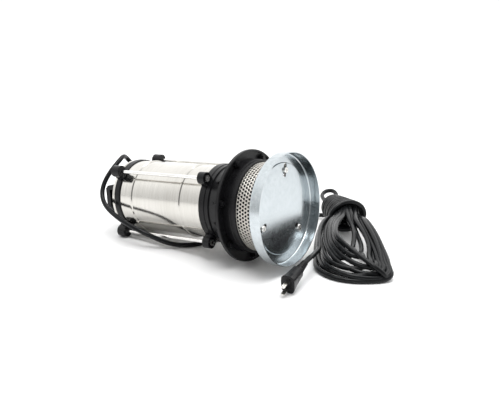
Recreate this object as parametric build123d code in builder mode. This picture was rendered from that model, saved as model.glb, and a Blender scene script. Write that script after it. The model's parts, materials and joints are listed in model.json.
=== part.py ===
"""Submersible sump pump lying on its side, with its cord and plug.

Heights are measured up the pump as it stands in service, from the rim of its base plate. The pump itself lies
on its flange and its two lower cap lugs, so every sketch is placed from the leaning plane `foot`.
"""

from build123d import *
from math import atan2, cos, pi, radians, sin, tan
import os

os.makedirs("parts", exist_ok=True)

# ---------------------------------------------------------------- driving dimensions, mm
base_radius, base_depth, sheet = 92.5, 20.4, 1.6
flange_radius, flange_bottom, flange_top = 93.4, 77.2, 82.6
ring_bottom, ring_top, ring_radius = 126.0, 137.0, 66.9
shell_radius, shell_wall = 62.0, 0.8
cap_bottom, cap_top, cap_radius = 315.7, 328.3, 64.0
rod_radius, rod_circle, lug_radius = 3.0, 76.5, 10.3
can_radius, can_wall = 49.0, 1.6
cord_radius = 4.2
screw_circle, first_slot = 62.4, 13.0
cover_screws_count, cover_screw_circle = 7, 83.5
fit_gap, rod_clearance = 0.05, 0.2
foot_x = 177.31

# The lying pose: a floor line under the flange's top edge and the cap lugs' top ends.
lug_reach = rod_circle * cos(radians(45)) + lug_radius
lean = atan2(flange_radius - lug_reach, cap_top - flange_top)
foot = Plane(
    origin=(foot_x, 0, flange_top * sin(lean) + flange_radius * cos(lean)),
    x_dir=(-sin(lean), 0, cos(lean)),
    z_dir=(-cos(lean), 0, -sin(lean)),
)
pump_axis = Axis(foot.origin, foot.z_dir)


def section_at(angle):
    """Half-section plane through the pump's axis: local x is the radius, local y the height."""
    spin = Axis((0, 0, 0), foot.z_dir)
    return Plane(
        origin=foot.origin,
        x_dir=foot.x_dir.rotate(spin, angle),
        z_dir=-foot.y_dir.rotate(spin, angle),
    )


def finish(piece, label):
    """Label a finished sub-part and write it out."""
    piece.part.label = label
    export_step(piece.part, f"parts/{label}.step")


def turned(label, *outlines):
    """A sub-part turned about the pump's axis from outlines of (radius, height) corners."""
    with BuildPart() as piece:
        for outline in outlines:
            with BuildSketch(section_at(0)):
                with BuildLine():
                    Polyline(*outline, close=True)
                make_face()
            revolve(axis=pump_axis)
    finish(piece, label)


def ring(inner, outer, bottom, top):
    """Corners of a plain ring's section."""
    return [(inner, bottom), (outer, bottom), (outer, top), (inner, top)]


# ---------------------------------------------------------------- base and strainer
emboss_radius, emboss_step = 73.8, 1.8
inner_face = base_depth - sheet
screw_seat, plate_back = inner_face - emboss_step, base_depth - emboss_step
slot_length, slot_width = 24.0, 8.0
base_head_radius, base_head_height, base_screw_radius, base_screw_length = 5.2, 3.2, 2.5, 18.0
with BuildPart() as base_plate:
    with BuildSketch(section_at(0)):
        with BuildLine():
            Polyline(
                (0, screw_seat),
                (emboss_radius, screw_seat),
                (emboss_radius + 1.2, inner_face),
                (base_radius - sheet, inner_face),
                (base_radius - sheet, 0),
                (base_radius, 0),
                (base_radius, base_depth),
                (emboss_radius + 0.6, base_depth),
                (emboss_radius - 0.6, plate_back),
                (0, plate_back),
                close=True,
            )
        make_face()
    revolve(axis=pump_axis)
    rim_edges = base_plate.edges().filter_by(GeomType.CIRCLE)
    fillet(rim_edges.filter_by(lambda e: e.radius > base_radius - 0.01).sort_by(pump_axis)[-1], 4.0)
    fillet(
        base_plate.edges()
        .filter_by(GeomType.CIRCLE)
        .filter_by(lambda e: abs(e.radius - base_radius + sheet) < 0.01)
        .sort_by(pump_axis)[-1],
        2.4,
    )
    with BuildSketch(foot.offset(screw_seat - 1)):
        with PolarLocations(screw_circle, 3, start_angle=first_slot):
            SlotOverall(slot_length, slot_width)
    extrude(amount=emboss_step + sheet + 2, mode=Mode.SUBTRACT)
finish(base_plate, "base_plate")

with BuildPart() as base_screws:
    with BuildSketch(foot.offset(screw_seat - fit_gap)):
        with PolarLocations(screw_circle, 3, start_angle=first_slot):
            Circle(base_head_radius)
    extrude(amount=-base_head_height)
    fillet(base_screws.edges().filter_by(GeomType.CIRCLE).group_by(pump_axis)[0], 1.4)
    with BuildSketch(foot.offset(screw_seat - fit_gap - base_head_height)):
        with PolarLocations(screw_circle, 3, start_angle=first_slot):
            Rectangle(6.4, 1.1)
            Rectangle(1.1, 6.4)
    extrude(amount=1.4, mode=Mode.SUBTRACT)
    with BuildSketch(foot.offset(screw_seat - fit_gap)):
        with PolarLocations(screw_circle, 3, start_angle=first_slot):
            Circle(base_screw_radius)
    extrude(amount=base_screw_length)
finish(base_screws, "base_screws")

strainer_radius = 73.0
turned("strainer", ring(strainer_radius - 1, strainer_radius, plate_back + 0.1, 63.9))

# ---------------------------------------------------------------- pump end
cover_top, eye_radius = 79.4, 21.0
post_radius, post_top = 6.5, 68.0
with BuildPart() as suction_cover:
    with BuildSketch(section_at(0)):
        with BuildLine():
            Polyline(
                (eye_radius, 70),
                (eye_radius + 3, 66),
                (strainer_radius - 1.5, 64),
                (strainer_radius + 0.1, 64),
                (strainer_radius + 0.1, 57),
                (75.6, 57),
                (76.6, 58),
                (76.6, 66),
                (77.6, 66.8),
                (77.6, cover_top),
                (61.5, cover_top),
                (61.5, 72.5),
                (eye_radius + 2, 74.5),
                (eye_radius + 2, 79),
                (eye_radius, 79),
                close=True,
            )
        make_face()
    revolve(axis=pump_axis)
    with BuildSketch(foot.offset(plate_back)):
        with PolarLocations(screw_circle, 3, start_angle=first_slot):
            Circle(post_radius)
    extrude(amount=post_top - plate_back)
    with BuildSketch(foot.offset(plate_back)):
        with PolarLocations(screw_circle, 3, start_angle=first_slot):
            Circle(base_screw_radius + fit_gap)
    extrude(amount=base_screw_length + 2, mode=Mode.SUBTRACT)
finish(suction_cover, "suction_cover")

recess_floor = 80.0
boss_drop, cover_screw_radius, cover_boss_radius = 4.5, 2.0, 5.4
turned("cover_gasket", ring(62, 77, cover_top, recess_floor))

lug_bottom, lug_web, nut_recess_radius, nut_recess_depth = 124.0, 17.0, 7.2, 4.0
rib_thickness, diffuser_bottom, diffuser_top = 3.0, 104.0, 110.0
with BuildPart() as pump_casing:
    with BuildSketch(section_at(0)):
        with BuildLine():
            Polyline(
                (60, recess_floor),
                (90, recess_floor),
                (90, flange_bottom),
                (flange_radius - 0.9, flange_bottom),
                (flange_radius, flange_bottom + 0.9),
                (flange_radius, flange_top),
                (72, flange_top + 0.6),
                (68.5, 90),
                (64, 118),
                (65.8, 119),
                (65.8, ring_bottom),
                (ring_radius, ring_bottom + 0.8),
                (ring_radius, ring_top),
                (shell_radius + 0.1, ring_top),
                (shell_radius + 0.1, 131),
                (57, 131),
                (57, diffuser_top),
                (13, diffuser_top),
                (13, diffuser_bottom),
                (60, diffuser_bottom),
                close=True,
            )
        make_face()
    revolve(axis=pump_axis)
    for rib_angle in range(15, 360, 30):
        with BuildSketch(section_at(rib_angle)):
            with BuildLine():
                Polyline((62, flange_top), (84, flange_top), (67, 108), (62, 108), close=True)
            make_face()
        extrude(amount=rib_thickness / 2, both=True)
    with BuildSketch(foot.offset(lug_bottom)):
        with PolarLocations(rod_circle, 4, start_angle=45):
            Circle(lug_radius)
        with PolarLocations(rod_circle - 8, 4, start_angle=45):
            Rectangle(12, lug_web)
    extrude(amount=ring_top - lug_bottom)
    with BuildSketch(foot.offset(recess_floor)):
        with PolarLocations(cover_screw_circle, cover_screws_count, start_angle=-75):
            Circle(cover_boss_radius)
    extrude(amount=-boss_drop)
    with BuildSketch(foot.offset(recess_floor - boss_drop)):
        with PolarLocations(cover_screw_circle, cover_screws_count, start_angle=-75):
            Circle(cover_screw_radius + fit_gap)
    extrude(amount=boss_drop + 1.5, mode=Mode.SUBTRACT)
    with BuildSketch(foot.offset(lug_bottom)):
        with PolarLocations(rod_circle, 4, start_angle=45):
            Circle(rod_radius + rod_clearance)
    extrude(amount=ring_top - lug_bottom, mode=Mode.SUBTRACT)
    with BuildSketch(foot.offset(lug_bottom)):
        with PolarLocations(rod_circle, 4, start_angle=45):
            Circle(nut_recess_radius)
    extrude(amount=nut_recess_depth, mode=Mode.SUBTRACT)
    with BuildSketch(foot.offset(diffuser_bottom)):
        with PolarLocations(53, 6):
            SlotOverall(24, 6, rotation=90)
    extrude(amount=diffuser_top - diffuser_bottom, mode=Mode.SUBTRACT)
finish(pump_casing, "pump_casing")

with BuildPart() as cover_screws:
    with BuildSketch(foot.offset(recess_floor - boss_drop - fit_gap)):
        with PolarLocations(cover_screw_circle, cover_screws_count, start_angle=-75):
            RegularPolygon(2 * cover_screw_radius, 6)
    extrude(amount=-3)
    with BuildSketch(foot.offset(recess_floor - boss_drop - fit_gap)):
        with PolarLocations(cover_screw_circle, cover_screws_count, start_angle=-75):
            Circle(cover_screw_radius)
    extrude(amount=boss_drop + 1)
finish(cover_screws, "cover_screws")

# ---------------------------------------------------------------- impeller, shaft and seal
impeller_radius, impeller_bottom, impeller_top = 50.0, 83.0, 99.0
with BuildSketch() as vane:
    with BuildLine():
        ThreePointArc((11, 0), (30, 9), (47.5, -4))
    trace(line_width=3)
with BuildPart() as impeller:
    with BuildSketch(section_at(0)):
        with BuildLine():
            Polyline(
                (6, impeller_bottom),
                (12, impeller_bottom),
                (14, impeller_top - 5),
                (impeller_radius, impeller_top - 2.5),
                (impeller_radius, impeller_top),
                (6, impeller_top),
                close=True,
            )
        make_face()
    revolve(axis=pump_axis)
    with BuildSketch(foot.offset(impeller_bottom + 1)):
        with PolarLocations(0, 6):
            add(vane.sketch)
    extrude(amount=impeller_top - 3 - impeller_bottom)
finish(impeller, "impeller")

shaft_bottom, shaft_end = 77.5, 268.0
seal_face, lower_bearing, upper_bearing = 110.0, 127.0, 257.0
turned(
    "shaft",
    [
        (0, shaft_bottom),
        (6, shaft_bottom),
        (6, impeller_top + 0.5),
        (8, impeller_top + 0.5),
        (8, lower_bearing - 1),
        (8.5, lower_bearing - 1),
        (8.5, lower_bearing + 12),
        (10, lower_bearing + 12),
        (10, upper_bearing),
        (7.5, upper_bearing),
        (7.5, shaft_end),
        (0, shaft_end),
    ],
)

with BuildPart() as impeller_nut:
    with BuildSketch(foot.offset(impeller_bottom - 0.05)):
        RegularPolygon(9.5, 6)
        Circle(6, mode=Mode.SUBTRACT)
    extrude(amount=-4.9)
finish(impeller_nut, "impeller_nut")

turned("seal_seat", ring(8.3, 13, 104.5, seal_face))
turned(
    "seal_head",
    [(8, 110.05), (11, 110.05), (11, 112), (13.5, 112), (13.5, 115), (8, 115)],
)
turned("seal_collar", ring(8, 13, 119.5, 123))
with BuildPart() as seal_spring:
    with BuildLine() as spring_line:
        Helix(
            pitch=1.4,
            height=2.6,
            radius=10.8,
            center=foot.offset(115.9).origin,
            direction=foot.z_dir,
        )
    with BuildSketch(Plane(origin=spring_line.line @ 0, z_dir=spring_line.line % 0)):
        Circle(0.5)
    sweep(is_frenet=True)
finish(seal_spring, "seal_spring")


def bearing(name, bore, outside, height, thickness, ball, balls):
    """Deep-groove bearing: two grooved races and a ring of balls between them."""
    pitch, mid = (bore + outside) / 2, height + thickness / 2
    shoulder = ball * 0.62
    for part_name, inner, outer in (
        (f"{name}_inner_race", bore, pitch - shoulder),
        (f"{name}_outer_race", pitch + shoulder, outside),
    ):
        with BuildPart() as race:
            with BuildSketch(section_at(0)):
                with BuildLine():
                    Polyline(*ring(inner, outer, height, height + thickness), close=True)
                make_face()
                with Locations((pitch, mid)):
                    Circle(ball + fit_gap, mode=Mode.SUBTRACT)
            revolve(axis=pump_axis)
        finish(race, part_name)
    with BuildPart() as ball_set:
        with Locations(foot.offset(mid)):
            with PolarLocations(pitch, balls):
                Sphere(ball)
    finish(ball_set, f"{name}_balls")


bearing("lower_bearing", 8.5, 20.0, lower_bearing, 12.0, 3.3, 8)
bearing("upper_bearing", 7.5, 17.5, upper_bearing, 11.0, 2.9, 8)

# ---------------------------------------------------------------- motor
core_bottom, core_top, gap = 160.0, 235.0, 0.6
rotor_radius = 27.0
can_inner = can_radius - can_wall
turned("rotor_core", ring(10, rotor_radius, core_bottom, core_top))
turned(
    "rotor_end_rings",
    ring(12, rotor_radius - 1, core_bottom - 7, core_bottom),
    ring(12, rotor_radius - 1, core_top, core_top + 7),
)
turned("stator_core", ring(rotor_radius + gap, can_inner, core_bottom, core_top))
with BuildPart() as stator_windings:
    for bottom in (core_bottom - 17, core_top + 0.1):
        with BuildSketch(section_at(0)):
            with Locations((37.5, bottom + 8.45)):
                RectangleRounded(14.5, 16.8, 4)
        revolve(axis=pump_axis)
finish(stator_windings, "stator_windings")
turned(
    "lower_end_bell",
    [
        (13.8, 124),
        (can_inner, 124),
        (can_inner, 131),
        (24.5, 133),
        (23.5, lower_bearing + 12),
        (20, lower_bearing + 12),
        (20, lower_bearing),
        (13.8, lower_bearing),
    ],
)
turned(
    "upper_end_bell",
    [
        (11, 254),
        (can_inner, 254),
        (can_inner, 260),
        (22.5, 261),
        (21.5, 271),
        (0, 271),
        (0, 268.6),
        (17.5, 268.6),
        (17.5, upper_bearing),
        (11, upper_bearing),
    ],
)
with BuildPart() as capacitor:
    with BuildSketch(Plane(origin=foot.offset(285.5).origin - foot.y_dir * 29, z_dir=foot.y_dir)):
        Circle(13)
    extrude(amount=58)
    fillet(capacitor.edges().filter_by(GeomType.CIRCLE), 1.5)
finish(capacitor, "start_capacitor")
can_bottom, can_top = 110.1, 302.0
turned(
    "motor_can",
    [
        (can_inner, can_bottom),
        (can_radius, can_bottom),
        (can_radius, can_top - 3),
        (can_radius - 3, can_top),
        (0, can_top),
        (0, can_top - 1.5),
        (can_inner - 2, can_top - 1.5),
        (can_inner, can_top - 4),
    ],
)

# ---------------------------------------------------------------- shell and cap
bead_height, bead_width = 1.7, 5.0
beads = (183.0, 289.5)
shell_bottom, shell_top = 132.4, 319.4
shell_outside = [(shell_radius, shell_bottom)]
for bead in beads:
    shell_outside += [
        (shell_radius, bead - bead_width / 2),
        (shell_radius + bead_height, bead - bead_width / 5),
        (shell_radius + bead_height, bead + bead_width / 5),
        (shell_radius, bead + bead_width / 2),
    ]
shell_outside.append((shell_radius, shell_top))
shell_inside = [(radius - shell_wall, height) for radius, height in reversed(shell_outside)]
turned("outer_shell", shell_outside + shell_inside)
turned("lower_shell_seal", ring(57.4, shell_radius, 131.1, shell_bottom - 0.1))
turned("upper_shell_seal", ring(58.4, shell_radius, shell_top + 0.1, 320.9))

cap_lug_bottom, cap_recess_depth = 312.0, 6.6
with BuildPart() as top_cap:
    with BuildSketch(section_at(0)):
        with BuildLine():
            Polyline(
                (58, 321),
                (shell_radius + 0.1, 321),
                (shell_radius + 0.1, cap_bottom),
                (cap_radius - 0.8, cap_bottom),
                (cap_radius, cap_bottom + 1.5),
                (cap_radius, cap_top - 3),
                (cap_radius - 1.6, cap_top),
                (58, cap_top),
                close=True,
            )
        make_face()
    revolve(axis=pump_axis)
    with BuildSketch(foot.offset(cap_lug_bottom)):
        with PolarLocations(rod_circle, 4, start_angle=45):
            Circle(lug_radius)
        with PolarLocations(rod_circle - 7.5, 4, start_angle=45):
            Rectangle(11, 16)
        Circle(shell_radius + 0.8, mode=Mode.SUBTRACT)
        with PolarLocations(rod_circle, 4, start_angle=45):
            Circle(rod_radius + rod_clearance, mode=Mode.SUBTRACT)
    extrude(amount=cap_top - cap_lug_bottom)
    with BuildSketch(foot.offset(cap_top - cap_recess_depth)):
        with PolarLocations(rod_circle, 4, start_angle=45):
            Circle(nut_recess_radius)
    extrude(amount=cap_recess_depth, mode=Mode.SUBTRACT)
finish(top_cap, "top_cap")
turned(
    "cap_plate",
    [
        (40, cap_top + 0.1),
        (63, cap_top + 0.1),
        (63, cap_top + 5),
        (61.8, cap_top + 5),
        (61.8, cap_top + 1.3),
        (40, cap_top + 1.3),
    ],
)

# ---------------------------------------------------------------- discharge head, handle and gland
port_radius, head_radius, neck_radius = 20.3, 52.0, 28.5
head_bottom, head_face, head_top = cap_top + 1.4, 335.6, 352.0
gland_place = Vector(26, 30, 345)
gland_out = Vector(-0.38, -0.45, 0.81).normalized()
gland_origin = (
    foot.origin
    + foot.x_dir * gland_place.X
    + foot.y_dir * gland_place.Y
    + foot.z_dir * gland_place.Z
)
gland_plane = Plane(origin=gland_origin, z_dir=gland_out)
boss_length, nut_length, relief_length = 4.0, 4.0, 20.0
gland_boss_radius = 9.8
with BuildPart() as discharge_head:
    with BuildSketch(section_at(0)):
        with BuildLine():
            Polyline(
                (port_radius, head_top),
                (neck_radius - 1, head_top),
                (neck_radius, head_top - 1),
                (neck_radius, head_face),
                (head_radius - 1, head_face),
                (head_radius, head_face - 1.1),
                (head_radius, head_bottom),
                (39.8, head_bottom),
                (39.8, 322.5),
                (36, 322.5),
                (port_radius, 333),
                close=True,
            )
        make_face()
    revolve(axis=pump_axis)
    with BuildSketch(foot.offset(head_face - 1.6)):
        with Locations((gland_place.X, gland_place.Y)):
            Circle(gland_boss_radius)
    extrude(amount=15)
    with BuildSketch(gland_plane.offset(boss_length)):
        Circle(gland_boss_radius + 1.7)
    extrude(amount=30, mode=Mode.SUBTRACT)
    with BuildSketch(foot.offset(head_bottom)):
        Circle(port_radius)
    extrude(amount=40, mode=Mode.SUBTRACT)
finish(discharge_head, "discharge_head")

head_screw_circle, head_screw_height = 46.5, 3.0
with BuildPart() as head_screws:
    for spot in (-15, 95, 150, 210):
        with BuildSketch(foot.offset(head_face + fit_gap)):
            with PolarLocations(head_screw_circle, 1, start_angle=spot):
                RegularPolygon(4, 6)
        extrude(amount=head_screw_height)
finish(head_screws, "head_screws")

handle_reach, handle_span, handle_top, handle_depth = 39.0, 38.0, 366.0, 10.0
leg_inner, grip_bottom, handle_foot = handle_span / 2 - 3, handle_top - 9, head_face + 0.1
handle_plane = Plane(
    origin=foot.origin - foot.y_dir * handle_reach, x_dir=foot.x_dir, z_dir=-foot.y_dir
)
with BuildPart() as carry_handle:
    with BuildSketch(handle_plane):
        with BuildLine():
            Polyline(
                (-handle_span / 2 - 8, handle_foot),
                (-leg_inner, handle_foot),
                (-leg_inner, grip_bottom),
                (leg_inner, grip_bottom),
                (leg_inner, handle_foot),
                (handle_span / 2 + 8, handle_foot),
                (handle_span / 2 + 4, handle_top - 5),
                (handle_span / 2 - 2, handle_top),
                (-handle_span / 2 + 2, handle_top),
                (-handle_span / 2 - 4, handle_top - 5),
                close=True,
            )
        make_face()
    extrude(amount=handle_depth / 2, both=True)
finish(carry_handle, "carry_handle")

cord_hole = cord_radius + 0.15
with BuildPart() as gland_nut:
    with BuildSketch(gland_plane.offset(boss_length + 0.05)):
        RegularPolygon(9.8, 6)
        Circle(cord_hole, mode=Mode.SUBTRACT)
    extrude(amount=nut_length)
finish(gland_nut, "gland_nut")

relief_start = gland_plane.offset(boss_length + nut_length + 0.1)
with BuildPart() as strain_relief:
    with BuildSketch(relief_start):
        Circle(7.4)
    with BuildSketch(relief_start.offset(relief_length)):
        Circle(cord_radius + 1.1)
    loft()
    with BuildSketch(relief_start):
        Circle(cord_hole)
    extrude(amount=relief_length, mode=Mode.SUBTRACT)
finish(strain_relief, "strain_relief")

# ---------------------------------------------------------------- tie rods, nuts and washers
rod_bottom, rod_top = 122.5, cap_top - 0.4
nut_radius, nut_height, washer_radius, washer_height = 5.8, 5.0, 7.0, 1.2


def on_rods(label, height, thickness, profile, bored=True):
    """Four equal pieces, one at each tie rod, bored to pass the rod unless told otherwise."""
    with BuildPart() as piece:
        with BuildSketch(foot.offset(height)):
            with PolarLocations(rod_circle, 4, start_angle=45):
                profile()
                if bored:
                    Circle(rod_radius + fit_gap, mode=Mode.SUBTRACT)
        extrude(amount=thickness)
    finish(piece, label)


on_rods("tie_rods", rod_bottom, rod_top - rod_bottom, lambda: Circle(rod_radius), bored=False)
on_rods("lower_rod_nuts", lug_bottom - 1.6, nut_height, lambda: RegularPolygon(nut_radius, 6))
washer_bottom = cap_top - cap_recess_depth + fit_gap
on_rods("upper_rod_washers", washer_bottom, washer_height, lambda: Circle(washer_radius))
upper_nut_bottom = washer_bottom + washer_height + fit_gap
on_rods("upper_rod_nuts", upper_nut_bottom, nut_height, lambda: RegularPolygon(nut_radius, 6))

# ---------------------------------------------------------------- plug
plug_axis_start = Vector(226, -32, 33.5)
plug_axis_end = Vector(231.5, -92.8, 16.4)
plug_out = (plug_axis_end - plug_axis_start).normalized()
plug_plane = Plane(origin=plug_axis_start, x_dir=(-0.1, 0.28, -0.95), z_dir=plug_out)
plug_relief, plug_length = 24.0, 38.0
with BuildPart() as plug_strain_relief:
    with BuildSketch(plug_plane):
        Circle(cord_radius + 1.2)
    with BuildSketch(plug_plane.offset(plug_relief)):
        Circle(7.5)
    loft()
    with BuildSketch(plug_plane):
        Circle(cord_hole)
    extrude(amount=plug_relief, mode=Mode.SUBTRACT)
finish(plug_strain_relief, "plug_strain_relief")

body_start = plug_plane.offset(plug_relief + 0.05)
with BuildPart() as plug_body:
    with BuildSketch(body_start):
        RectangleRounded(19, 17, 6)
    with BuildSketch(body_start.offset(plug_length * 0.55)):
        RectangleRounded(24, 20, 6)
    with BuildSketch(body_start.offset(plug_length)):
        RectangleRounded(33, 23, 6)
    loft(ruled=True)
finish(plug_body, "plug_body")

blade_start = body_start.offset(plug_length + 0.05)
blade_spacing, blade_thickness, blade_width, blade_length = 12.7, 1.5, 6.35, 16.5
with BuildPart() as plug_blades:
    with BuildSketch(blade_start):
        with GridLocations(blade_spacing, 0, 2, 1):
            Rectangle(blade_thickness, blade_width)
    extrude(amount=blade_length)
finish(plug_blades, "plug_blades")

# ---------------------------------------------------------------- cord
relief_tip = relief_start.offset(relief_length + 0.1).origin
lead_route = [
    relief_tip,
    relief_tip + gland_out * 17,
    (-180.5, -5, 132),
    (-175.5, -20, 127.6),
    (-176.5, -36, 116.3),
    (-179, -50, 101.3),
    (-179.5, -60, 86.6),
    (-174.7, -68, 72.6),
    (-164.3, -74, 61.3),
    (-147.6, -79, 53),
    (-124.8, -83, 45.9),
    (-105, -84, 40.4),
    (-87.5, -83, 35.2),
    (-71, -80, 30.5),
    (-56, -73, 24),
    (-43, -62, 15.5),
    (-28, -46, 7),
    (-12, -28, 4.3),
    (0, -4, 4.3),
    (10, 30, 4.3),
    (18, 68, 4.3),
    (20, 110, 4.3),
    (18, 154, 4.3),
    (24, 196, 4.3),
    (38, 234, 4.3),
    (66, 259.4, 4.5),
]
tail_route = [
    plug_axis_start - plug_out * 0.1,
    plug_axis_start - plug_out * 14,
    (221, 2, 34),
    (214.5, 22, 31.5),
    (211, 40, 31),
]


def cord_tube(label, route):
    """A round cord along straight runs joined by tangent arcs; prints each arc's radius."""
    points = [Vector(*p) if isinstance(p, tuple) else p for p in route]
    radii = []
    for before, corner, after in zip(points, points[1:], points[2:]):
        half_turn = radians((corner - before).get_angle(after - corner)) / 2
        shorter = min((corner - before).length, (after - corner).length)
        radii.append(0.45 * shorter / tan(half_turn))
    with BuildPart() as tube:
        with BuildLine() as path:
            FilletPolyline(*points, radius=radii)
        with BuildSketch(Plane(origin=path.line @ 0, z_dir=path.line % 0)):
            Circle(cord_radius)
        sweep()
    finish(tube, label)
    diameters = [round(radius / (2 * cord_radius), 1) for radius in radii]
    straight = tube.part.volume / (pi * cord_radius**2)
    print(label, "radii in diameters", diameters, "length", round(path.wire().length), round(straight))


cord_tube("cord_lead", lead_route)
cord_tube("cord_tail", tail_route)

hank_outline = [
    (60, 312),
    (56, 284),
    (70, 250),
    (94, 246),
    (136, 196),
    (140, 170),
    (158, 122),
    (190, 84),
    (200, 62),
    (214, 40),
    (236, 10),
    (258, 0),
    (290, 4),
    (316, 24),
    (332, 44),
    (338, 62),
    (326, 84),
    (304, 108),
    (270, 142),
    (240, 174),
    (204, 206),
    (200, 246),
    (184, 254),
    (124, 290),
    (100, 320),
    (80, 326),
]
hank_mouth, hank_lie = Vector(172, 216, 0), Vector(0.66, -0.75, 0)
hank_height, hank_tip_height, hank_floor, hank_edge = 62.0, 26.0, 0.2, 8.0
with BuildPart() as cord_hank:
    with BuildSketch(Plane.XY.offset(hank_floor)):
        with BuildLine():
            Polyline(*hank_outline, close=True)
        make_face()
    extrude(amount=hank_height)
    fillet(cord_hank.edges().group_by(Axis.Z)[-1], hank_edge)
    with BuildSketch(Plane(origin=hank_mouth, x_dir=hank_lie, z_dir=Vector(0, 0, 1).cross(hank_lie))):
        with BuildLine():
            Polyline((30, hank_height), (260, hank_tip_height), (260, 90), (30, 90), close=True)
        make_face()
    extrude(amount=150, both=True, mode=Mode.SUBTRACT)
finish(cord_hank, "cord_hank")
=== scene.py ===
"""Looks of a submersible sump pump lying on its side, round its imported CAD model.

Places are in the CAD's own frame, in metres. The cord's points are in millimetres, and MM scales
them when it is laid.
Heights are measured up the pump, from the rim of its base plate.
"""

import json
import math

import bmesh
import bpy
from mathutils import Matrix, Vector


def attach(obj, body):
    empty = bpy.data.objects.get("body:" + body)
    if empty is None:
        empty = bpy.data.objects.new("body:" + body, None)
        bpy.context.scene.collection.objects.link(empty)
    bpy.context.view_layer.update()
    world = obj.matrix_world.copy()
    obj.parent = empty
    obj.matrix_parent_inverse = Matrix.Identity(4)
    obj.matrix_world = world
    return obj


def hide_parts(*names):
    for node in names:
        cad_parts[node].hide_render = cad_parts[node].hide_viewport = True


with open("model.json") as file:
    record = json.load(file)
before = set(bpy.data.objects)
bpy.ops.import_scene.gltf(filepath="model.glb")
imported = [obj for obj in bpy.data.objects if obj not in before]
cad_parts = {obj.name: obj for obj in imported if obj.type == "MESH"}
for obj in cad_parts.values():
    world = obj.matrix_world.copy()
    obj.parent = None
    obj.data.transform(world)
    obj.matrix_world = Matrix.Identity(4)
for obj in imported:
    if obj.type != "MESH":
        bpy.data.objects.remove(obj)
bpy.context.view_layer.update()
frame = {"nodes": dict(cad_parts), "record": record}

BODY = "pump_body"
MM = 0.001

# ------------------------------------------------------------ the pump's own axes, from its two mounts
mounts = {mount["name"]: mount for mount in frame["record"]["mounts"]}
pump_up = Vector(mounts["discharge_port"]["axis"]).normalized()
port = Vector(mounts["discharge_port"]["pos_m"])
rim = Vector(mounts["base_rim"]["pos_m"])
foot = port + pump_up * (rim - port).dot(pump_up)
pump_side = Vector((0, 1, 0))
pump_top = pump_side.cross(pump_up).normalized()
lean = math.asin(-pump_up.z)


def on_pump(height, across, aside):
    """The point at a height up the pump, and across (up when it lies) and aside (+Y) from its axis."""
    return foot + pump_up * height + pump_top * across + pump_side * aside


def around(height, radius, angle):
    """The point at a height and radius, at an angle in degrees from the top towards +Y."""
    turn = math.radians(angle)
    return on_pump(height, radius * math.cos(turn), radius * math.sin(turn))


# ------------------------------------------------------------ materials
def add(nodes, kind, **values):
    """A shader node with its inputs or attributes set."""
    node = nodes.new(kind)
    for name, value in values.items():
        if name in node.inputs:
            node.inputs[name].default_value = value
        else:
            setattr(node, name, value)
    return node


def place_nodes(nodes, links, scale, turned):
    """Object coordinates, scaled. When turned, X runs along the leaning pump."""
    coordinates = nodes.new("ShaderNodeTexCoord")
    mapping = nodes.new("ShaderNodeMapping")
    mapping.inputs["Scale"].default_value = scale
    if turned:
        straight = nodes.new("ShaderNodeMapping")
        straight.inputs["Rotation"].default_value = (0, lean, 0)
        links.new(coordinates.outputs["Object"], straight.inputs["Vector"])
        links.new(straight.outputs["Vector"], mapping.inputs["Vector"])
    else:
        links.new(coordinates.outputs["Object"], mapping.inputs["Vector"])
    return mapping.outputs["Vector"]


def surface(
    name,
    dark,
    light,
    rough=(0.4, 0.5),
    metallic=0.0,
    grain=400.0,
    bump=0.1,
    bump_size=0.0002,
    stretch=(1, 1, 1),
    turned=False,
    patch=25.0,
    specular=0.5,
):
    """A material that varies between two colours in patches, with its own grain, roughness and bump."""
    made = bpy.data.materials.new(name)
    made.use_nodes = True
    nodes, links = made.node_tree.nodes, made.node_tree.links
    shader = nodes["Principled BSDF"]
    shader.inputs["Metallic"].default_value = metallic
    shader.inputs["Specular IOR Level"].default_value = specular
    patches = add(nodes, "ShaderNodeTexNoise", Scale=patch, Detail=3.0)
    links.new(place_nodes(nodes, links, (1, 1, 1), False), patches.inputs["Vector"])
    fine = add(nodes, "ShaderNodeTexNoise", Scale=grain, Detail=4.0)
    links.new(place_nodes(nodes, links, stretch, turned), fine.inputs["Vector"])
    both = add(nodes, "ShaderNodeMath", operation="ADD")
    links.new(patches.outputs["Fac"], both.inputs[0])
    links.new(fine.outputs["Fac"], both.inputs[1])
    share = add(nodes, "ShaderNodeMapRange")
    share.inputs["From Min"].default_value = 0.7
    share.inputs["From Max"].default_value = 1.3
    links.new(both.outputs[0], share.inputs["Value"])
    colours = nodes.new("ShaderNodeValToRGB")
    colours.color_ramp.elements[0].color = (*dark, 1)
    colours.color_ramp.elements[1].color = (*light, 1)
    links.new(share.outputs["Result"], colours.inputs["Fac"])
    links.new(colours.outputs["Color"], shader.inputs["Base Color"])
    dull = add(nodes, "ShaderNodeMapRange")
    dull.inputs["To Min"].default_value, dull.inputs["To Max"].default_value = rough
    links.new(share.outputs["Result"], dull.inputs["Value"])
    links.new(dull.outputs["Result"], shader.inputs["Roughness"])
    relief = add(nodes, "ShaderNodeBump", Strength=bump, Distance=bump_size)
    links.new(fine.outputs["Fac"], relief.inputs["Height"])
    links.new(relief.outputs["Normal"], shader.inputs["Normal"])
    return made


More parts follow.
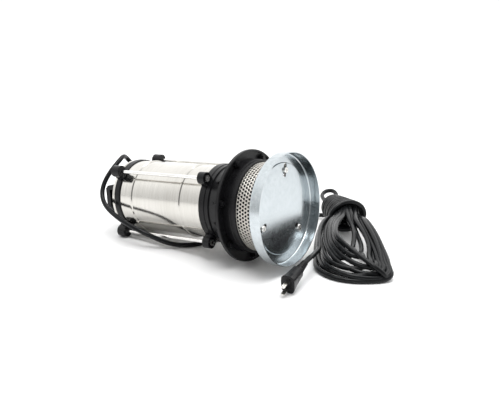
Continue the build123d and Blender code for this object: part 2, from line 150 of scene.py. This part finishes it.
# along a turned part, the grain is stretched into rings round the pump's axis
AROUND = dict(stretch=(1, 0.03, 0.03), turned=True)
FINISHES = {
    "galvanised": dict(
        dark=(0.45, 0.49, 0.51), light=(0.57, 0.61, 0.63), rough=(0.16, 0.24), metallic=1.0,
        grain=160, bump=0.03, bump_size=0.0001, patch=9,
    ),
    "zinc": dict(
        dark=(0.72, 0.71, 0.68), light=(0.9, 0.89, 0.87), rough=(0.2, 0.34), metallic=1.0,
        grain=500, bump=0.1,
    ),
    "strainer_steel": dict(
        dark=(0.5, 0.475, 0.43), light=(0.66, 0.635, 0.59), rough=(0.25, 0.38), metallic=1.0,
        grain=300, bump=0.1,
    ),
    "black_casting": dict(
        dark=(0.003, 0.003, 0.0035), light=(0.008, 0.008, 0.009), rough=(0.22, 0.38), grain=900,
        bump=0.3, bump_size=0.0003, specular=0.22,
    ),
    "seal_rubber": dict(
        dark=(0.006, 0.006, 0.006), light=(0.012, 0.012, 0.012), rough=(0.5, 0.7), grain=800,
        bump=0.2, specular=0.3,
    ),
    "cast_brass": dict(
        dark=(0.45, 0.32, 0.12), light=(0.66, 0.5, 0.24), rough=(0.3, 0.45), metallic=1.0,
        grain=700, bump=0.3,
    ),
    "shaft_steel": dict(
        dark=(0.55, 0.55, 0.56), light=(0.72, 0.72, 0.73), rough=(0.15, 0.25), metallic=1.0,
        grain=900, bump=0.1, **AROUND,
    ),
    "seal_ceramic": dict(
        dark=(0.78, 0.75, 0.68), light=(0.88, 0.86, 0.8), rough=(0.15, 0.25), grain=600, bump=0.05,
    ),
    "core_steel": dict(
        dark=(0.14, 0.14, 0.15), light=(0.3, 0.3, 0.32), rough=(0.35, 0.5), metallic=1.0,
        grain=1500, bump=0.5, **AROUND,
    ),
    "cast_aluminium": dict(
        dark=(0.5, 0.51, 0.52), light=(0.66, 0.67, 0.68), rough=(0.35, 0.5), metallic=1.0,
        grain=600, bump=0.3,
    ),
    "copper_winding": dict(
        dark=(0.35, 0.12, 0.04), light=(0.6, 0.27, 0.12), rough=(0.25, 0.4), metallic=1.0,
        grain=900, bump=0.6, bump_size=0.0005, stretch=(1, 0.2, 1),
    ),
    "capacitor_case": dict(
        dark=(0.03, 0.03, 0.035), light=(0.06, 0.06, 0.065), rough=(0.4, 0.5), grain=500, bump=0.1,
    ),
    "can_steel": dict(
        dark=(0.5, 0.5, 0.5), light=(0.68, 0.68, 0.68), rough=(0.3, 0.45), metallic=1.0, grain=600,
        bump=0.1, **AROUND,
    ),
    "stainless": dict(
        dark=(0.54, 0.525, 0.49), light=(0.66, 0.645, 0.61), rough=(0.13, 0.2), metallic=1.0,
        grain=700, bump=0.04, bump_size=0.0001, patch=12, **AROUND,
    ),
    "black_plastic": dict(
        dark=(0.003, 0.003, 0.004), light=(0.008, 0.008, 0.009), rough=(0.2, 0.35), grain=900,
        bump=0.2, specular=0.2,
    ),
    "cord_rubber": dict(
        dark=(0.006, 0.006, 0.007), light=(0.014, 0.014, 0.016), rough=(0.4, 0.55), grain=900,
        bump=0.2, specular=0.3,
    ),
    "rod_steel": dict(
        dark=(0.7, 0.69, 0.67), light=(0.86, 0.85, 0.83), rough=(0.1, 0.22), metallic=1.0,
        grain=500, bump=0.05,
    ),
    "plug_vinyl": dict(
        dark=(0.003, 0.003, 0.004), light=(0.009, 0.009, 0.01), rough=(0.2, 0.32), grain=900,
        bump=0.25, specular=0.18,
    ),
    "plug_brass": dict(
        dark=(0.62, 0.6, 0.55), light=(0.8, 0.78, 0.73), rough=(0.12, 0.25), metallic=1.0,
        grain=400, bump=0.05,
    ),
    "cord_jacket": dict(
        dark=(0.004, 0.0045, 0.005), light=(0.011, 0.012, 0.013), rough=(0.2, 0.3), grain=1200,
        bump=0.2, bump_size=0.0001, specular=0.2,
    ),
}
LOOKS = {name: surface(name, **finish) for name, finish in FINISHES.items()}

for row in frame["record"]["subparts"]:
    node = frame["nodes"][row["node"]]
    node.data.materials.clear()
    node.data.materials.append(LOOKS[row["material_slot"]])


# ------------------------------------------------------------ making pieces
def piece(name, mesh_or_curve, slot, *replaced, body=BODY):
    """A new object of the pump, finished in one of the record's slots, riding on a body."""
    made = bpy.data.objects.new(name, mesh_or_curve)
    bpy.context.scene.collection.objects.link(made)
    made.data.materials.append(LOOKS[slot])
    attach(made, body)
    if replaced:
        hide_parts(*replaced)
    return made


def mesh_from(name, corners, faces, smooth=True):
    """A mesh with shared corners merged and its faces turned outwards."""
    mesh = bpy.data.meshes.new(name)
    mesh.from_pydata([tuple(c) for c in corners], [], faces)
    work = bmesh.new()
    work.from_mesh(mesh)
    bmesh.ops.remove_doubles(work, verts=work.verts, dist=0.00001)
    bmesh.ops.recalc_face_normals(work, faces=work.faces)
    work.to_mesh(mesh)
    work.free()
    for polygon in mesh.polygons:
        polygon.use_smooth = smooth
    return mesh


def loop_rings(rings, closed_ends=True):
    """Corners and faces of a skin over rings of equally many points."""
    corners = [point for ring in rings for point in ring]
    count = len(rings[0])
    faces = []
    for k in range(len(rings) - 1):
        for i in range(count):
            j = (i + 1) % count
            faces.append((k * count + i, k * count + j, (k + 1) * count + j, (k + 1) * count + i))
    if closed_ends:
        faces.append(tuple(range(count)))
        faces.append(tuple(range((len(rings) - 1) * count, len(rings) * count)))
    return corners, faces


# ------------------------------------------------------------ perforated strainer
STRAINER_RADIUS, STRAINER_SHEET = 72.5 * MM, 0.9 * MM
STRAINER_LOW, STRAINER_HIGH, HOLES_START = 18.8 * MM, 63.8 * MM, 20.9 * MM
HOLE_RADIUS, HOLE_COLUMNS, HOLE_ROWS = 2.05 * MM, 76, 8
# each hole is cut in a six-sided cell, whose rim has a point at each corner and each middle of a side
CELL_POINTS = 12
BAND_IN, BAND_OUT, BAND_SIDES = 0.6 * MM, 0.46 * MM, 96


def strainer():
    """The strainer's sheet with every one of its staggered round holes, between two plain bands."""
    pitch = math.tau * STRAINER_RADIUS / HOLE_COLUMNS
    row_step = pitch * math.sqrt(3) / 2
    first = HOLES_START + row_step / 2
    point_step = 360 // CELL_POINTS
    corners, faces = [], []
    for row in range(HOLE_ROWS):
        for column in range(HOLE_COLUMNS):
            middle = (column + 0.5 * (row % 2)) * pitch
            height = first + row * row_step
            start = len(corners)
            for is_hole in (False, True):
                for k in range(CELL_POINTS):
                    turn = math.radians(point_step * (k + 1))
                    if is_hole:
                        reach = HOLE_RADIUS
                    else:
                        to_side = math.cos(math.radians(point_step))
                        reach = pitch / math.sqrt(3) * (1 if k % 2 == 0 else to_side)
                    along, up = middle + reach * math.cos(turn), height + reach * math.sin(turn)
                    corners.append(around(up, STRAINER_RADIUS, math.degrees(along / STRAINER_RADIUS)))
            for k in range(CELL_POINTS):
                j = (k + 1) % CELL_POINTS
                inner = start + CELL_POINTS
                faces.append((start + k, start + j, inner + j, inner + k))
    mesh = mesh_from("strainer_sheet", corners, faces)
    sheet = piece("strainer_sheet", mesh, "strainer_steel", "strainer")
    thick = sheet.modifiers.new("thickness", "SOLIDIFY")
    thick.thickness, thick.offset = STRAINER_SHEET, 0
    last = first + (HOLE_ROWS - 1) * row_step
    lap = row_step * 0.2
    for name, low, high in (
        ("strainer_lower_band", STRAINER_LOW, first - lap),
        ("strainer_upper_band", last + lap, STRAINER_HIGH),
    ):
        inside, outside = STRAINER_RADIUS - BAND_IN, STRAINER_RADIUS + BAND_OUT
        section = [(low, inside), (low, outside), (high, outside), (high, inside)]
        rings = [
            [around(height, radius, 360 * k / BAND_SIDES) for height, radius in section]
            for k in range(BAND_SIDES)
        ]
        rings.append(rings[0])
        band_corners, band_faces = loop_rings(rings, closed_ends=False)
        piece(name, mesh_from(name, band_corners, band_faces, smooth=False), "strainer_steel")


# ------------------------------------------------------------ cord
CORD = 8.4 * MM
RELIEF_TIP_LEAD = 17 * MM
# from the gland, down past the top cap and along the floor, to the far end of the hank's neck
LEAD = [
    (-180.5, -5, 132),
    (-175.5, -20, 127.6),
    (-176.5, -36, 116.3),
    (-179, -50, 101.3),
    (-179.5, -60, 86.6),
    (-174.7, -68, 72.6),
    (-164.3, -74, 61.3),
    (-147.6, -79, 53),
    (-124.8, -83, 45.9),
    (-105, -84, 40.4),
    (-87.5, -83, 35.2),
    (-71, -80, 30.5),
    (-56, -73, 24),
    (-43, -62, 15.5),
    (-28, -46, 7),
    (-12, -28, 4.3),
    (0, -4, 4.3),
    (10, 30, 4.3),
    (18, 68, 4.3),
    (20, 110, 4.3),
    (18, 154, 4.3),
    (24, 196, 4.3),
    (38, 234, 4.3),
    (62, 258, 4.4),
]
# from the hank's neck to the plug
TAIL = [
    (150, 180, 38),
    (158, 140, 38),
    (176, 100, 36),
    (196, 64, 33),
    (211, 40, 31),
    (214.5, 22, 31.5),
    (221, 2, 34),
    (225, -16, 36.5),
]
# the short loop that stands out of the far end of the neck
END_LOOP = [
    (108, 286, 38),
    (102, 299, 39),
    (94, 310, 43),
    (82, 315, 45),
    (72, 309, 43),
    (71, 296, 39),
    (80, 280, 37),
]
# the lowest and highest strands down the hank's left side, then the longest and shortest tips and
# right sides: each turn lies between them
LEFT_LOW = [
    (143, 186, 30),
    (144, 160, 24),
    (158, 124, 16),
    (176, 92, 9),
    (194, 64, 4.6),
    (208, 38, 4.3),
    (228, 14, 4.3),
    (256, 2, 4.3),
    (286, 8, 4.3),
    (312, 30, 4.3),
]
LEFT_HIGH = [
    (172, 196, 50),
    (184, 166, 51),
    (190, 138, 51),
    (206, 102, 50),
    (224, 74, 48),
    (247, 56, 44),
    (270, 46, 38),
    (290, 42, 32),
    (310, 41, 25),
    (324, 46, 17),
]
TIP_LONG = [(330, 50, 5), (333, 63, 11)]
TIP_SHORT = [(292, 52, 24), (282, 68, 25)]
RIGHT_LONG = [
    (320, 76, 14),
    (308, 92, 20),
    (288, 116, 27),
    (266, 140, 34),
    (240, 166, 40),
    (214, 194, 43),
]
RIGHT_SHORT = [
    (272, 82, 24),
    (262, 104, 30),
    (248, 126, 36),
    (232, 146, 40),
    (216, 164, 43),
    (200, 180, 46),
]
NECK_FAR, NECK_MOUTH = Vector((108, 266, 30)), Vector((172, 216, 34))
NECK_WRAPS, WRAP_POINTS = 8, 12
# the wraps' radius at the far end, how much wider it grows to the mouth, and how much it swells and
# shrinks from wrap to wrap
WRAP_RADIUS, WRAP_GROWTH, WRAP_SWELL = 20, 17, 0.9
WRAP_START, WRAP_ANGLE = 0.02, 165
NECK_CORE = 20.0
# the neck is flattened: above this radius its height grows by only this share
NECK_ROUND, NECK_FLAT = 25, 0.3
WANDER = 1.6
# the widest a fold may be held inside the neck, as half its angle
FOLD_HALF = 70
# how far up the left side each turn lies, how short it is on the right, and how much its right side
# is raised
TURN_RISE = (0, 0.12, 0.25, 0.37, 0.5, 0.62, 0.74, 0.87, 1.0)
TURN_SHORT = (0.0, 0.45, 0.12, 0.8, 0.3, 1.5, 0.58, 1.15, 0.05)
TURN_LIFT = (0, 0, 6, 0, 7, -6, -8, -12, 8)
FLOOR_LINE = 4.3

neck_axis = (NECK_MOUTH - NECK_FAR).normalized()
neck_side = neck_axis.cross(Vector((0, 0, 1))).normalized()
neck_up = neck_side.cross(neck_axis)


def on_neck(share, radius, angle):
    """A point round the hank's neck, at a share of its length: 0 degrees is up, and less is to the left."""
    centre = NECK_FAR.lerp(NECK_MOUTH, share)
    turn = math.radians(angle)
    rise = min(radius, NECK_ROUND + (radius - NECK_ROUND) * NECK_FLAT) * math.cos(turn)
    if rise < 0:
        rise = max(rise, FLOOR_LINE + 0.1 - centre.z)
    return centre + neck_up * rise - neck_side * radius * math.sin(turn)


def between(first, second, share):
    """The points a share of the way from each point of one list to its fellow in another."""
    return [Vector(a).lerp(Vector(b), share) for a, b in zip(first, second)]


def hank_turn(i):
    """One long turn of the hank: down its left side, round its tip and back up its right side."""
    short, lift = TURN_SHORT[i], TURN_LIFT[i]
    tip = between(TIP_LONG, TIP_SHORT, short)
    points = []
    for k, point in enumerate(between(LEFT_LOW, LEFT_HIGH, TURN_RISE[i])):
        if k > 6 and short > 0.2:
            point = point.lerp(tip[0], (k - 6) / 3 * 0.75 * min(1, short * 1.6))
            if point.x > tip[0].x - 12:
                continue
        rise = 1.5 * math.sin(1.3 * i + 0.7 * k) if point.z > 9 else 0
        aside = WANDER * math.sin(2.4 * i + 0.9 * k), WANDER * math.cos(1.7 * i + 0.8 * k)
        points.append(point + Vector((*aside, rise)))
    points += [point + Vector((0, 0, 0.25 * abs(lift))) for point in tip]
    for k, point in enumerate(between(RIGHT_LONG, RIGHT_SHORT, short)):
        rise = math.sin(1.1 * i + k) + lift * math.sin(math.pi * (k + 1) / 7)
        aside = WANDER * math.sin(1.9 * i + 1.1 * k), WANDER * math.cos(2.3 * i + 0.6 * k)
        point = point + Vector((*aside, rise))
        point.z = max(point.z, FLOOR_LINE)
        points.append(point)
    return points


def hank():
    """The hank in order: the wraps round its neck, its long turns folded in the neck, its end loop."""
    points = []
    steps = NECK_WRAPS * WRAP_POINTS - 3
    for k in range(steps + 1):
        share = WRAP_START + k / steps
        swell = WRAP_SWELL * math.cos(math.pi * k / WRAP_POINTS)
        radius = WRAP_RADIUS + swell + WRAP_GROWTH * share**1.3
        points.append(on_neck(share, radius, WRAP_ANGLE - 360 // WRAP_POINTS * k))
    last = len(TURN_RISE) - 1
    for i in range(last + 1):
        points += hank_turn(i)[1 if i == 0 else 0 :]
        right = max(25 + 110 * (1 - TURN_SHORT[i]), -10)
        left = -(150 - 135 * (TURN_RISE[i + 1] if i < last else 0.45))
        if i < last:
            fold = 0.62 - 0.07 * i
            sides = [(0.95, 1), (fold + 0.15, 1)]
            middle, half = (right + left) / 2, max((right - left) / 2, FOLD_HALF)
            bottom = [on_neck(fold - 0.08, NECK_CORE * 0.8, middle + turn) for turn in (half, -half)]
        else:
            sides = [(0.95, 1), (0.7, 0.8), (0.4, 0.55)]
            bottom = [Vector(p) for p in END_LOOP]
        points += [on_neck(share, NECK_CORE * size, right) for share, size in sides]
        points += bottom
        points += [on_neck(share, NECK_CORE * size, left) for share, size in reversed(sides)]
    return points


# ------------------------------------------------------------ moulded pieces at the cord's two ends
PLUG_START, PLUG_END = Vector((226, -32, 33.5)) * MM, Vector((231.5, -92.8, 16.4)) * MM
plug_out = (PLUG_END - PLUG_START).normalized()
plug_side = Vector((-0.1, 0.28, -0.95))
plug_side = (plug_side - plug_out * plug_side.dot(plug_out)).normalized()
plug_rise = plug_out.cross(plug_side)
PLUG_RELIEF, PLUG_BODY = 24 * MM, 38 * MM
GLAND = on_pump(345 * MM, 26 * MM, 30 * MM)
gland_out = Vector((-0.38, -0.45, 0.81)).normalized()
RELIEF_START, RELIEF_LENGTH = 8.1 * MM, 20 * MM
SLEEVE_GAP, RIB_DEPTH, RIB_POINTS, SLEEVE_SIDES = 0.15 * MM, 1.0 * MM, 10, 40
# the plug's widths and depths in millimetres: where the cord enters, where it begins to flare, and
# at its flat front
PLUG_WIDTHS, PLUG_DEPTHS, FLARE_AT = (19, 24, 33), (17, 20, 23), 0.55
PLUG_STEPS, PLUG_SIDES, PLUG_SQUARENESS = 44, 64, 3.4
FINGER_START, FINGER_END, FINGER_PITCH, FINGER_DEPTH = 0.12, 0.62, 0.1, 0.45


def ribbed_sleeve(name, slot, start, out, length, first, last, ribs, replaced):
    """A moulded sleeve round the cord, with rounded ribs, tapering from its first radius to its last."""
    aside = out.orthogonal().normalized()
    above = out.cross(aside)
    bore = CORD / 2 + SLEEVE_GAP
    profile = [(0, bore)]
    steps = ribs * RIB_POINTS
    for k in range(steps + 1):
        share = k / steps
        groove = 0.5 - 0.5 * math.cos(math.tau * ribs * share)
        radius = first + (last - first) * share
        depth = RIB_DEPTH * (1 - groove) ** 2 * min(1, (radius - bore) / MM / 1.4)
        profile.append((length * share, radius - depth))
    profile.append((length, bore))
    rings = []
    for along, radius in profile:
        ring = []
        for k in range(SLEEVE_SIDES):
            turn = math.tau * k / SLEEVE_SIDES
            sideways = aside * math.cos(turn) + above * math.sin(turn)
            ring.append(start + out * along + sideways * radius)
        rings.append(ring)
    rings.append(rings[0])
    corners, faces = loop_rings(rings, closed_ends=False)
    return piece(name, mesh_from(name, corners, faces), slot, replaced)


def plug():
    """The moulded plug body: rounded sections that flare to a flat, soft-edged front, with finger ridges."""
    start = PLUG_START + plug_out * PLUG_RELIEF
    steps = PLUG_STEPS
    (back_width, mid_width, front_width), (back_depth, mid_depth, front_depth) = PLUG_WIDTHS, PLUG_DEPTHS
    rings = []
    for k in range(-1, steps + 3):
        share = min(max(k / steps, 0), 1)
        if share < FLARE_AT:
            width = back_width + (mid_width - back_width) * share / FLARE_AT
            depth = back_depth + (mid_depth - back_depth) * share / FLARE_AT
        else:
            flare = (share - FLARE_AT) / (1 - FLARE_AT)
            width = mid_width + (front_width - mid_width) * flare**1.5
            depth = mid_depth + (front_depth - mid_depth) * flare
        inset = 0.0
        if FINGER_START < share < FINGER_END:
            ridge = math.cos(math.tau * (share - FINGER_START) / FINGER_PITCH)
            inset = FINGER_DEPTH * (0.5 - 0.5 * ridge)
        edge = {-1: 2.2, 0: 0.8, steps: 0.9, steps + 1: 2.2, steps + 2: 4.0}.get(k, 0)
        along = {-1: 0.0, 0: 0.6 * MM, steps: PLUG_BODY - 0.7 * MM}.get(k, min(PLUG_BODY * share, PLUG_BODY))
        ring = []
        for m in range(PLUG_SIDES):
            turn = math.tau * m / PLUG_SIDES
            across, up = math.cos(turn), math.sin(turn)
            power = 2 / PLUG_SQUARENESS
            x = math.copysign(abs(across) ** power, across) * (width / 2 - edge - inset) * MM
            z = math.copysign(abs(up) ** power, up) * (depth / 2 - edge - inset) * MM
            ring.append(start + plug_out * along + plug_side * x + plug_rise * z)
        rings.append(ring)
    corners, faces = loop_rings(rings)
    return piece("plug_moulding", mesh_from("plug_moulding", corners, faces), "plug_vinyl", "plug_body")


def lay_cord():
    """The whole cord as one smooth line, from the gland along the floor and the hank to the plug."""
    relief_tip = GLAND + gland_out * (RELIEF_START + RELIEF_LENGTH)
    route = [relief_tip, relief_tip + gland_out * RELIEF_TIP_LEAD]
    route += [Vector(p) * MM for p in LEAD]
    route += [p * MM for p in hank()]
    route += [Vector(p) * MM for p in TAIL]
    route += [PLUG_START - plug_out * 2 * MM, PLUG_START + plug_out * 4 * MM]
    line = bpy.data.curves.new("cord_line", "CURVE")
    line.dimensions = "3D"
    spline = line.splines.new("NURBS")
    spline.points.add(len(route) - 1)
    for point, place in zip(spline.points, route):
        point.co = (*place, 1)
    spline.order_u = 3
    spline.use_endpoint_u = True
    spline.resolution_u = 4
    line.resolution_u = 4
    line.bevel_depth = CORD / 2
    line.bevel_resolution = 4
    line.use_fill_caps = True
    made = piece("cord", line, "cord_jacket", "cord_lead", "cord_hank", "cord_tail")
    return made


strainer()
ribbed_sleeve(
    "gland_sleeve",
    "cord_rubber",
    start=GLAND + gland_out * RELIEF_START,
    out=gland_out,
    length=RELIEF_LENGTH,
    first=7.4 * MM,
    last=CORD / 2 + 1.1 * MM,
    ribs=4,
    replaced="strain_relief",
)
plug_sleeve = ribbed_sleeve(
    "plug_sleeve",
    "plug_vinyl",
    start=PLUG_START,
    out=plug_out,
    length=PLUG_RELIEF,
    first=CORD / 2 + 1.2 * MM,
    last=7.5 * MM,
    ribs=5,
    replaced="plug_strain_relief",
)
plug_moulding = plug()
lay_cord()


# ------------------------------------------------------------ floor, light and camera
FLOOR_REACH, FLOOR_COLOUR = 60, (0.93, 0.93, 0.93, 1)
TOWARDS_NEAR, DIM, BRIGHT = (0.60, -0.80, 0.0), 0.3, 1.5
LENS, SENSOR, CAMERA_PLACE = 57.6, 36, (0.80136, -1.05134, 0.49285)
CAMERA_TURN, CAMERA_DOWN, CAMERA_ROLL = 33.82, 17.157, 1.99


def panel(name, size, place, target, power):
    """A square lamp at a place, facing a target."""
    light = bpy.data.lights.new(name, "AREA")
    light.shape = "RECTANGLE"
    light.size = light.size_y = size
    light.energy = power
    made = bpy.data.objects.new(name, light)
    made.location = place
    made.rotation_euler = (Vector(target) - Vector(place)).to_track_quat("-Z", "Y").to_euler()
    bpy.context.scene.collection.objects.link(made)


floor_material = bpy.data.materials.new("studio_floor")
floor_material.use_nodes = True
floor_shader = floor_material.node_tree.nodes["Principled BSDF"]
floor_shader.inputs["Base Color"].default_value = FLOOR_COLOUR
floor_shader.inputs["Roughness"].default_value = 0.7
floor_shader.inputs["Specular IOR Level"].default_value = 0.2
floor_mesh = bpy.data.meshes.new("studio_floor")
floor_corners = [(x * FLOOR_REACH, y * FLOOR_REACH, 0) for x, y in ((-1, -1), (1, -1), (1, 1), (-1, 1))]
floor_mesh.from_pydata(floor_corners, [], [(0, 1, 2, 3)])
floor_mesh.materials.append(floor_material)
floor = bpy.data.objects.new("studio_floor", floor_mesh)
bpy.context.scene.collection.objects.link(floor)

world = bpy.data.worlds.new("studio")
world.use_nodes = True
sky_nodes, sky_links = world.node_tree.nodes, world.node_tree.links
sky = sky_nodes["Background"]
sky.inputs["Color"].default_value = (1, 1, 1, 1)
# the studio is bright at the far side and overhead, and dim at the near side
place = sky_nodes.new("ShaderNodeTexCoord")
nearness = add(sky_nodes, "ShaderNodeVectorMath", operation="DOT_PRODUCT")
nearness.inputs[1].default_value = TOWARDS_NEAR
glow = sky_nodes.new("ShaderNodeMapRange")
glow.inputs["From Min"].default_value, glow.inputs["From Max"].default_value = -0.1, 0.6
glow.inputs["To Min"].default_value, glow.inputs["To Max"].default_value = BRIGHT, DIM
sky_links.new(place.outputs["Generated"], nearness.inputs[0])
sky_links.new(nearness.outputs["Value"], glow.inputs["Value"])
sky_links.new(glow.outputs["Result"], sky.inputs["Strength"])
bpy.context.scene.world = world

panel("key", size=1.0, place=(0.5, -0.7, 2.4), target=(0.05, 0, 0.05), power=26)
panel("top", size=1.6, place=(0.1, 0.7, 2.3), target=(0.1, 0.1, 0), power=22)

scene = bpy.context.scene
scene.view_settings.view_transform = "Standard"
lens = bpy.data.cameras.new("camera")
lens.sensor_width = SENSOR
lens.lens = LENS
lens.clip_start, lens.clip_end = 0.01, 500
camera = bpy.data.objects.new("camera", lens)
aim = Matrix.Rotation(math.radians(CAMERA_TURN), 4, "Z")
aim @= Matrix.Rotation(math.radians(90 - CAMERA_DOWN), 4, "X")
aim @= Matrix.Rotation(math.radians(CAMERA_ROLL), 4, "Z")
camera.matrix_world = Matrix.Translation(CAMERA_PLACE) @ aim
scene.collection.objects.link(camera)
scene.camera = camera
